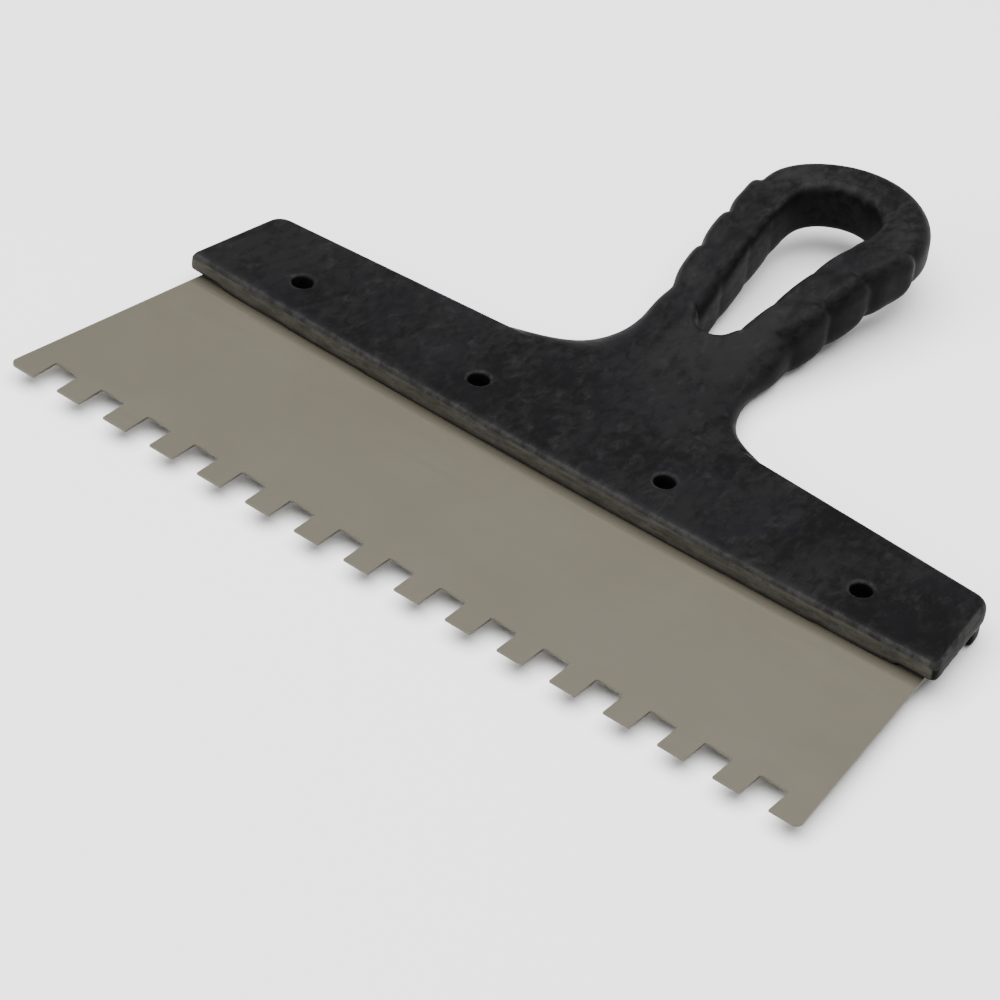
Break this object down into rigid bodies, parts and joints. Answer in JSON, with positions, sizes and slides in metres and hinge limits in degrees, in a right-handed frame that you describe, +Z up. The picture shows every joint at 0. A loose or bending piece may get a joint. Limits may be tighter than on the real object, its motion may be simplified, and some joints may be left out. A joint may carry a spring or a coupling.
{
  "type": "notched trowel",
  "caption": "Thin steel blade with square notches along its edge, riveted into a flat black plastic head with a teardrop loop handle.",
  "frame": {"origin": "on the flat underside of the head, midway between the two middle rivets", "axes": "+X along the blade, +Y from the teeth towards the grip, +Z up from the underside"},
  "size_m": [0.249, 0.218, 0.0238],
  "materials": {
    "blade_steel": "matt rolled stainless sheet with a warm grey cast",
    "handle_plastic": "satin black recycled polypropylene with faint flow marks",
    "rivet_metal": "dull zinc-plated steel"
  },
  "bodies": {
    "root": {"blade": "blade_steel", "handle": "handle_plastic", "rivet_far_left": "rivet_metal", "rivet_mid_left": "rivet_metal", "rivet_mid_right": "rivet_metal", "rivet_far_right": "rivet_metal"}
  },
  "joints": []
}
